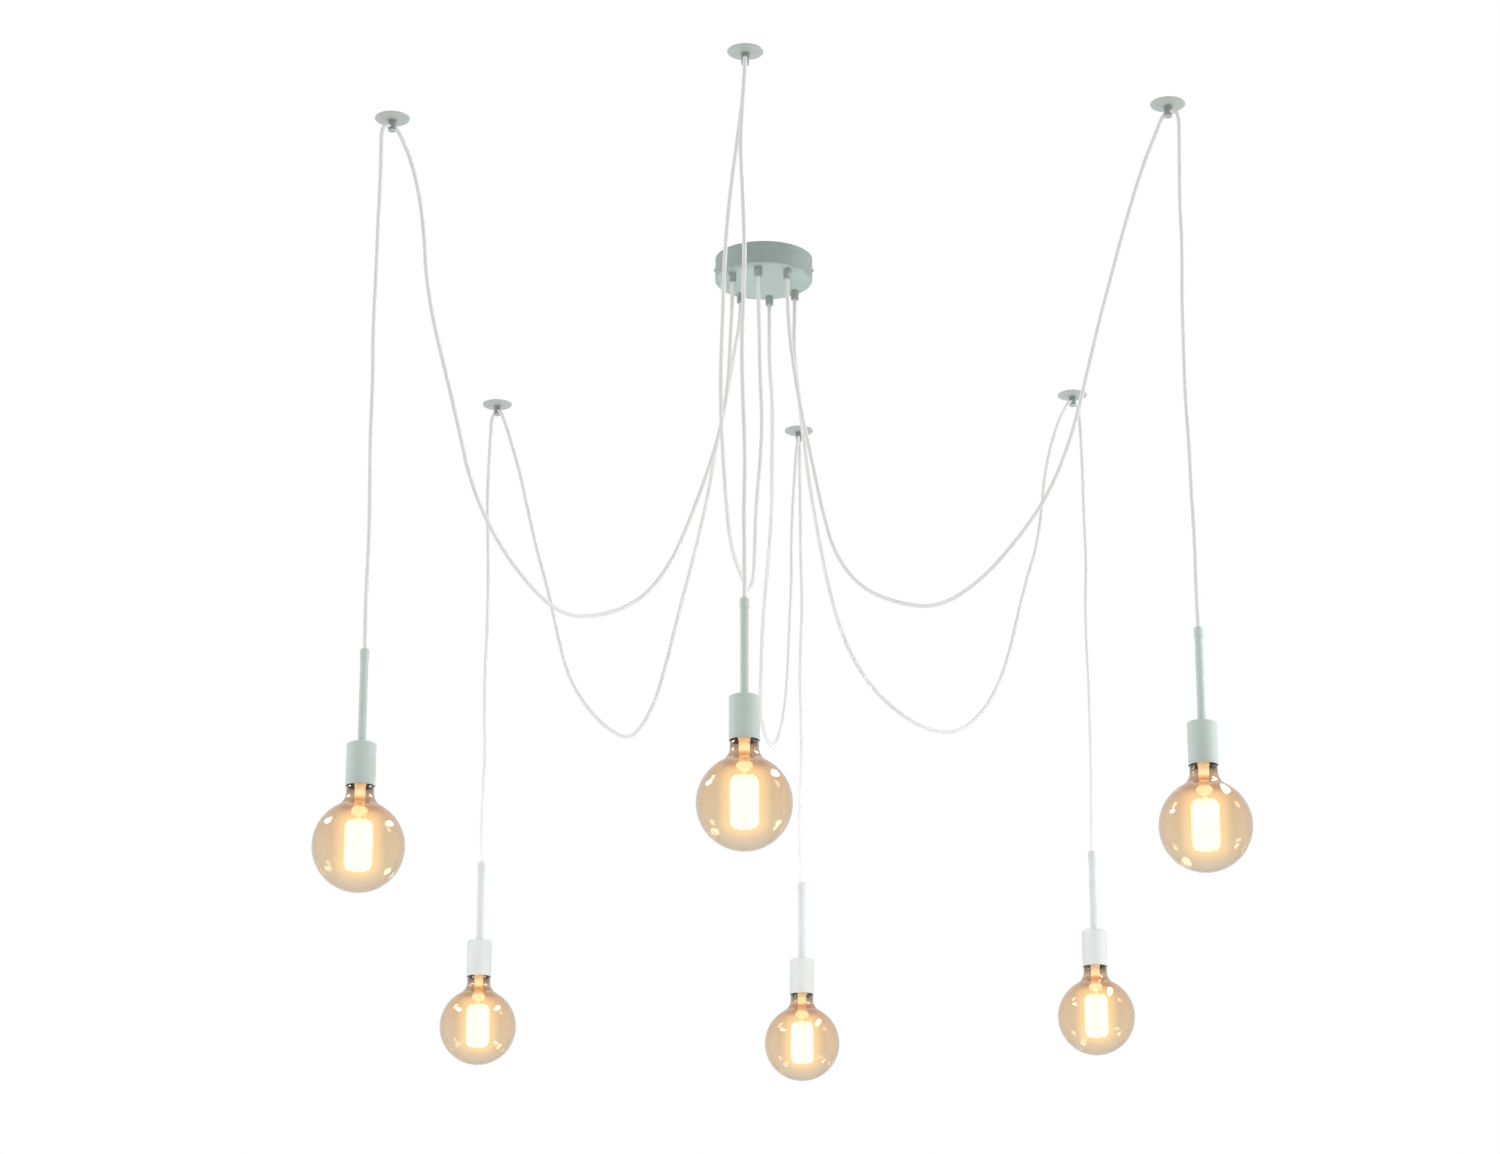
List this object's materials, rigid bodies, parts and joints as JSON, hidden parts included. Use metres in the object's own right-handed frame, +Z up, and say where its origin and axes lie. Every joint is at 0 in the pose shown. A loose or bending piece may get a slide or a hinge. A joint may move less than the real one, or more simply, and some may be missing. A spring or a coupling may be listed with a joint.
{
  "type": "spider pendant light",
  "caption": "Ceiling light with a round canopy, cords that hang in swags to ceiling hooks and drop to slim lamp holders with large amber globe bulbs.",
  "frame": {"origin": "middle of the canopy on the ceiling plane, centre of the strap's two slots", "axes": "+Z up into the ceiling, +X to the right and +Y away as the picture sees it"},
  "size_m": [1.2539, 1.6779, 1.145],
  "materials": {
    "white_enamel": "satin white",
    "zinc_steel": "zinc plated",
    "cord_sheath": "round white cord",
    "terminal_plastic": "natural nylon",
    "insert_plastic": "moulded",
    "amber_glass": "clear amber",
    "bulb_stem": "glass stem and filament in a nickel cap"
  },
  "bodies": {
    "root": {"canopy_cup": "white_enamel", "mounting_strap": "zinc_steel", "canopy_screws": "zinc_steel", "terminal_block": "terminal_plastic", "cord_glands": "white_enamel", "gland_lock_nuts": "zinc_steel", "gland_clamp_screws": "zinc_steel", "hook_rosettes": "white_enamel", "hook_clamp_bodies": "white_enamel", "hook_clamp_caps": "white_enamel", "swag_cord_a": "cord_sheath", "swag_cord_b": "cord_sheath", "swag_cord_c": "cord_sheath", "swag_cord_d": "cord_sheath", "swag_cord_e": "cord_sheath", "swag_cord_f": "cord_sheath"},
    "cord_a": {"drop_cord_a": "cord_sheath"},
    "lamp_a": {"cord_grip_a": "white_enamel", "stem_tube_a": "white_enamel", "holder_cup_a": "white_enamel", "holder_insert_a": "insert_plastic"},
    "bulb_a": {"bulb_glass_a": "amber_glass", "bulb_core_a": "bulb_stem"},
    "cord_b": {"drop_cord_b": "cord_sheath"},
    "lamp_b": {"cord_grip_b": "white_enamel", "stem_tube_b": "white_enamel", "holder_cup_b": "white_enamel", "holder_insert_b": "insert_plastic"},
    "bulb_b": {"bulb_glass_b": "amber_glass", "bulb_core_b": "bulb_stem"},
    "cord_c": {"drop_cord_c": "cord_sheath"},
    "lamp_c": {"cord_grip_c": "white_enamel", "stem_tube_c": "white_enamel", "holder_cup_c": "white_enamel", "holder_insert_c": "insert_plastic"},
    "bulb_c": {"bulb_glass_c": "amber_glass", "bulb_core_c": "bulb_stem"},
    "cord_d": {"drop_cord_d": "cord_sheath"},
    "lamp_d": {"cord_grip_d": "white_enamel", "stem_tube_d": "white_enamel", "holder_cup_d": "white_enamel", "holder_insert_d": "insert_plastic"},
    "bulb_d": {"bulb_glass_d": "amber_glass", "bulb_core_d": "bulb_stem"},
    "cord_e": {"drop_cord_e": "cord_sheath"},
    "lamp_e": {"cord_grip_e": "white_enamel", "stem_tube_e": "white_enamel", "holder_cup_e": "white_enamel", "holder_insert_e": "insert_plastic"},
    "bulb_e": {"bulb_glass_e": "amber_glass", "bulb_core_e": "bulb_stem"},
    "cord_f": {"drop_cord_f": "cord_sheath"},
    "lamp_f": {"cord_grip_f": "white_enamel", "stem_tube_f": "white_enamel", "holder_cup_f": "white_enamel", "holder_insert_f": "insert_plastic"},
    "bulb_f": {"bulb_glass_f": "amber_glass", "bulb_core_f": "bulb_stem"}
  },
  "joints": [
    {"name": "swing_a", "type": "hinge", "parent": "root", "child": "cord_a", "pos_m": [-0.54554, -0.53733, -0.0383], "axis": [-0.7017, 0.7124, 0], "range_deg": [-15, 15]},
    {"name": "tilt_a", "type": "hinge", "parent": "cord_a", "child": "lamp_a", "pos_m": [-0.54554, -0.53733, -0.7952], "axis": [-0.7124, -0.7017, 0], "range_deg": [-12, 12]},
    {"name": "turn_a", "type": "hinge", "parent": "lamp_a", "child": "bulb_a", "pos_m": [-0.54554, -0.53733, -0.956], "axis": [0, 0, -1], "range_deg": [0, 1080]},
    {"name": "swing_b", "type": "hinge", "parent": "root", "child": "cord_b", "pos_m": [-0.467, 0.65749, -0.0383], "axis": [0.8153, 0.5791, 0], "range_deg": [-15, 15]},
    {"name": "tilt_b", "type": "hinge", "parent": "cord_b", "child": "lamp_b", "pos_m": [-0.467, 0.65749, -0.8042], "axis": [-0.5791, 0.8153, 0], "range_deg": [-12, 12]},
    {"name": "turn_b", "type": "hinge", "parent": "lamp_b", "child": "bulb_b", "pos_m": [-0.467, 0.65749, -0.965], "axis": [0, 0, -1], "range_deg": [0, 1080]},
    {"name": "swing_c", "type": "hinge", "parent": "root", "child": "cord_c", "pos_m": [-0.02872, -0.76099, -0.0383], "axis": [-0.9993, 0.0377, 0], "range_deg": [-15, 15]},
    {"name": "tilt_c", "type": "hinge", "parent": "cord_c", "child": "lamp_c", "pos_m": [-0.02872, -0.76099, -0.7932], "axis": [-0.0377, -0.9993, 0], "range_deg": [-12, 12]},
    {"name": "turn_c", "type": "hinge", "parent": "lamp_c", "child": "bulb_c", "pos_m": [-0.02872, -0.76099, -0.954], "axis": [0, 0, -1], "range_deg": [0, 1080]},
    {"name": "swing_d", "type": "hinge", "parent": "root", "child": "cord_d", "pos_m": [0.06557, 0.79193, -0.0383], "axis": [0.9966, -0.0825, 0], "range_deg": [-15, 15]},
    {"name": "tilt_d", "type": "hinge", "parent": "cord_d", "child": "lamp_d", "pos_m": [0.06557, 0.79193, -0.8062], "axis": [0.0825, 0.9966, 0], "range_deg": [-12, 12]},
    {"name": "turn_d", "type": "hinge", "parent": "lamp_d", "child": "bulb_d", "pos_m": [0.06557, 0.79193, -0.967], "axis": [0, 0, -1], "range_deg": [0, 1080]},
    {"name": "swing_e", "type": "hinge", "parent": "root", "child": "cord_e", "pos_m": [0.54161, 0.61021, -0.0383], "axis": [0.7479, -0.6638, 0], "range_deg": [-15, 15]},
    {"name": "tilt_e", "type": "hinge", "parent": "cord_e", "child": "lamp_e", "pos_m": [0.54161, 0.61021, -0.7972], "axis": [0.6638, 0.7479, 0], "range_deg": [-12, 12]},
    {"name": "turn_e", "type": "hinge", "parent": "lamp_e", "child": "bulb_e", "pos_m": [0.54161, 0.61021, -0.958], "axis": [0, 0, -1], "range_deg": [0, 1080]},
    {"name": "swing_f", "type": "hinge", "parent": "root", "child": "cord_f", "pos_m": [0.58341, -0.58546, -0.0383], "axis": [-0.7083, -0.7059, 0], "range_deg": [-15, 15]},
    {"name": "tilt_f", "type": "hinge", "parent": "cord_f", "child": "lamp_f", "pos_m": [0.58341, -0.58546, -0.7792], "axis": [0.7059, -0.7083, 0], "range_deg": [-12, 12]},
    {"name": "turn_f", "type": "hinge", "parent": "lamp_f", "child": "bulb_f", "pos_m": [0.58341, -0.58546, -0.94], "axis": [0, 0, -1], "range_deg": [0, 1080]}
  ]
}
